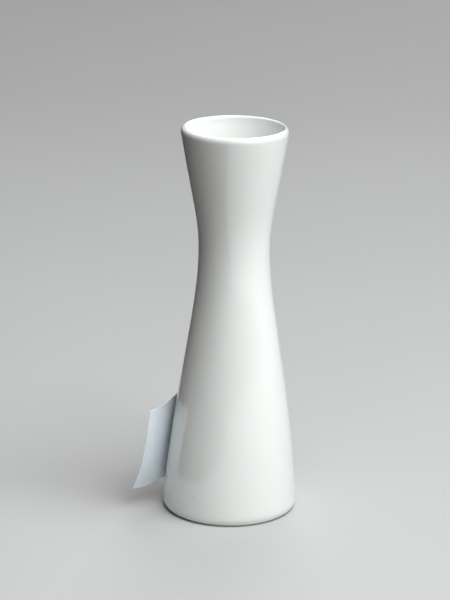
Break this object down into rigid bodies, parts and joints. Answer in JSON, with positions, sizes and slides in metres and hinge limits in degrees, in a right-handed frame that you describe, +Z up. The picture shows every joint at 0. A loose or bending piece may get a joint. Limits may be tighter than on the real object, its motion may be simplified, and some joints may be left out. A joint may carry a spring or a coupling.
{
  "type": "flower vase",
  "caption": "Slender waisted bud vase in white glazed porcelain with a flared mouth, carrying a paper label whose free end has peeled and curls away.",
  "frame": {"origin": "on the vase's axis, on the plane that its foot ring rests on", "axes": "+Z up along the vase's axis of revolution; the label's loose end points towards -X -Y"},
  "size_m": [0.0584, 0.0584, 0.165],
  "materials": {
    "porcelain": "clear glossy glaze over white porcelain, bare on the foot ring",
    "stuck_paper": "smooth uncoated label paper, glued down",
    "loose_paper": "label paper with a faint sheen of dried glue on its inner face"
  },
  "bodies": {
    "vase": {"vase_body": "porcelain", "label_stuck_end": "stuck_paper"},
    "label_flap": {"label_loose_end": "loose_paper"}
  },
  "joints": [
    {"name": "label_peel", "type": "hinge", "parent": "vase", "child": "label_flap", "pos_m": [-0.02493, -0.00919, 0.02847], "axis": [-0.1159, -0.0349, -0.9927], "range_deg": [-12, 75], "stiffness_Nm_per_rad": 0.0003}
  ]
}
